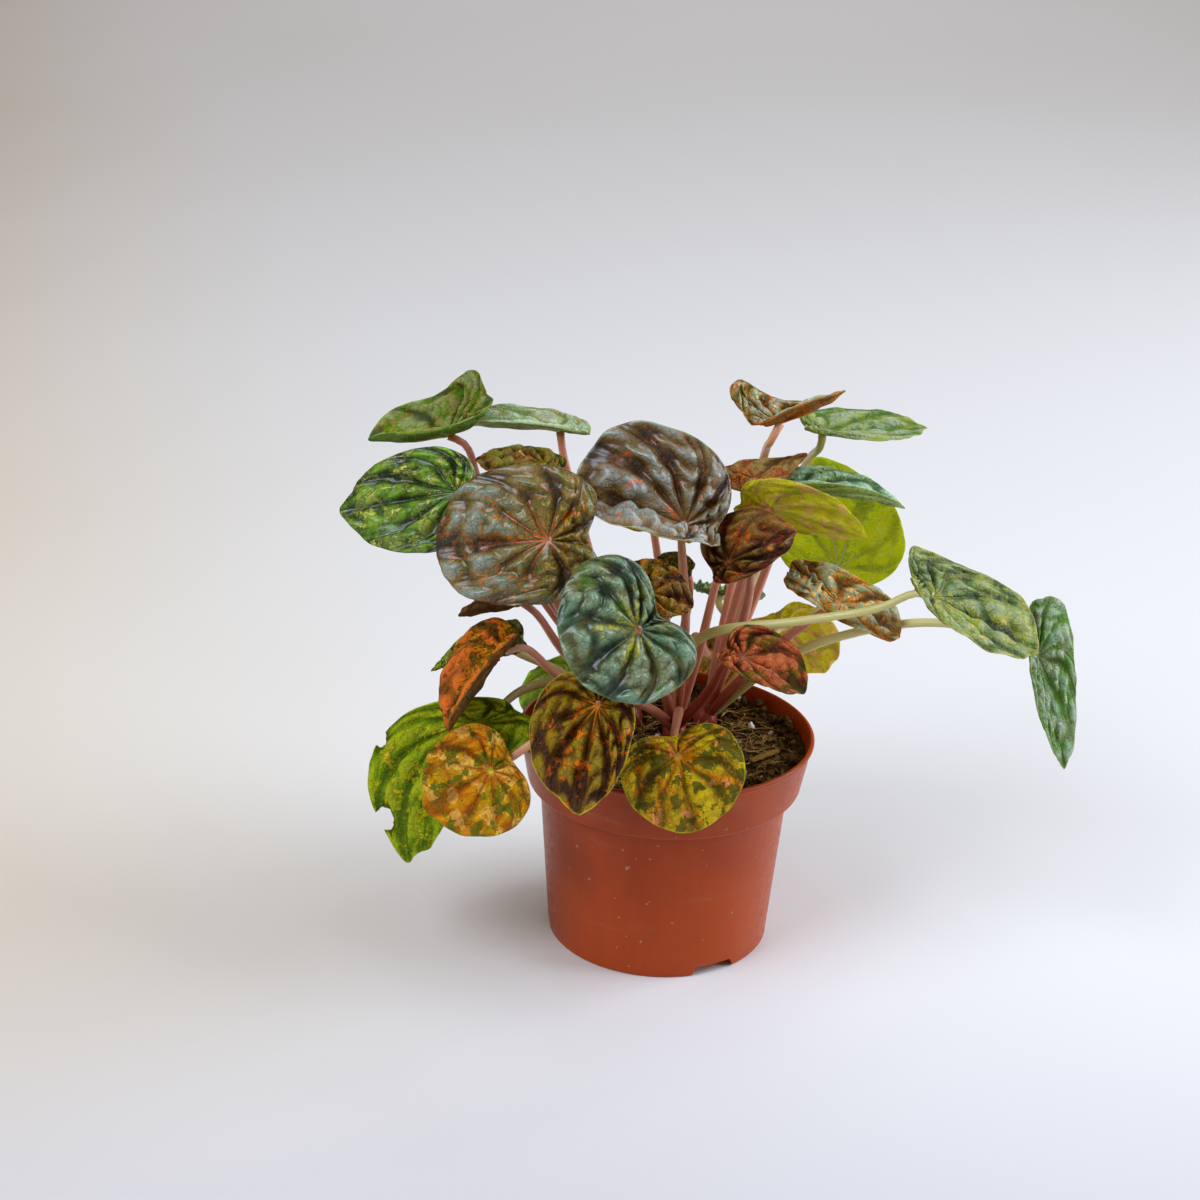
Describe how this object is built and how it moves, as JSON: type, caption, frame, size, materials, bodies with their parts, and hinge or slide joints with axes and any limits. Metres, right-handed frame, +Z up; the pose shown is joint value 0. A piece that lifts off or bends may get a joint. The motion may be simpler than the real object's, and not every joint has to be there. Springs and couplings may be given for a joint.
{
  "type": "potted ripple peperomia plant",
  "caption": "Bushy ripple-leaved peperomia with heart-shaped silver, bronze, green and orange leaves on long red stems, in a round terracotta-coloured plastic nursery pot.",
  "frame": {"origin": "the middle of the flat pad under the pot, on the pot's axis, at the height of the surface that it stands on", "axes": "+Z up along the pot's axis, -Y towards the plant's front, +X to the right seen from the front, along the plant's widest spread"},
  "size_m": [0.2892, 0.1866, 0.2313],
  "materials": {
    "pot_plastic": "smooth moulded terracotta-coloured plastic",
    "potting_mix": "moist dark peat with bark, straw and perlite bits",
    "stem_red": "smooth fleshy petiole, red to pink",
    "leaf_silver_bronze": "rippled, silvery with bronze valleys",
    "leaf_lime_green": "rippled, green with lime flecks",
    "leaf_silver_green": "rippled, silvery green",
    "leaf_dark_red": "rippled, dark red-brown",
    "leaf_orange_salmon": "rippled, orange and salmon patches on olive",
    "leaf_olive_orange": "rippled, olive brown with orange veins",
    "leaf_lime": "rippled, pale lime underside",
    "leaf_bright_green": "rippled, bright green"
  },
  "bodies": {
    "root": {"pot": "pot_plastic", "soil": "potting_mix", "stems_centre": "stem_red", "stems_left": "stem_red", "stems_right": "stem_red", "stems_back": "stem_red", "leaf_top_centre": "leaf_silver_bronze", "leaf_upper_left": "leaf_silver_bronze", "leaf_left_lime": "leaf_lime_green", "leaf_high_left": "leaf_lime_green", "leaf_high_left_back": "leaf_silver_green", "leaf_left_olive": "leaf_olive_orange", "leaf_left_hidden": "leaf_dark_red", "leaf_high_right": "leaf_olive_orange", "leaf_high_right_green": "leaf_bright_green", "leaf_right_red": "leaf_dark_red", "leaf_right_lime_olive": "leaf_lime", "leaf_right_silver": "leaf_silver_green", "leaf_right_lime_back": "leaf_lime", "leaf_centre_maroon": "leaf_dark_red", "leaf_right_folded": "leaf_silver_bronze", "leaf_front_centre": "leaf_silver_green", "leaf_centre_brown": "leaf_dark_red", "leaf_inner_olive": "leaf_olive_orange", "leaf_small_red": "leaf_dark_red", "leaf_right_olive_round": "leaf_olive_orange", "leaf_far_right_pale": "leaf_bright_green", "leaf_far_right_drooping": "leaf_silver_green", "leaf_left_salmon": "leaf_orange_salmon", "leaf_left_edge_on": "leaf_lime_green", "leaf_low_left_green": "leaf_bright_green", "leaf_low_left_orange": "leaf_orange_salmon", "leaf_front_bronze": "leaf_olive_orange", "leaf_front_orange": "leaf_orange_salmon", "leaf_back_high": "leaf_silver_bronze", "leaf_back_left": "leaf_olive_orange", "leaf_back_middle": "leaf_dark_red", "leaf_back_low_left": "leaf_bright_green", "leaf_back_low_right": "leaf_olive_orange", "leaf_back_right": "leaf_lime_green"}
  },
  "joints": []
}
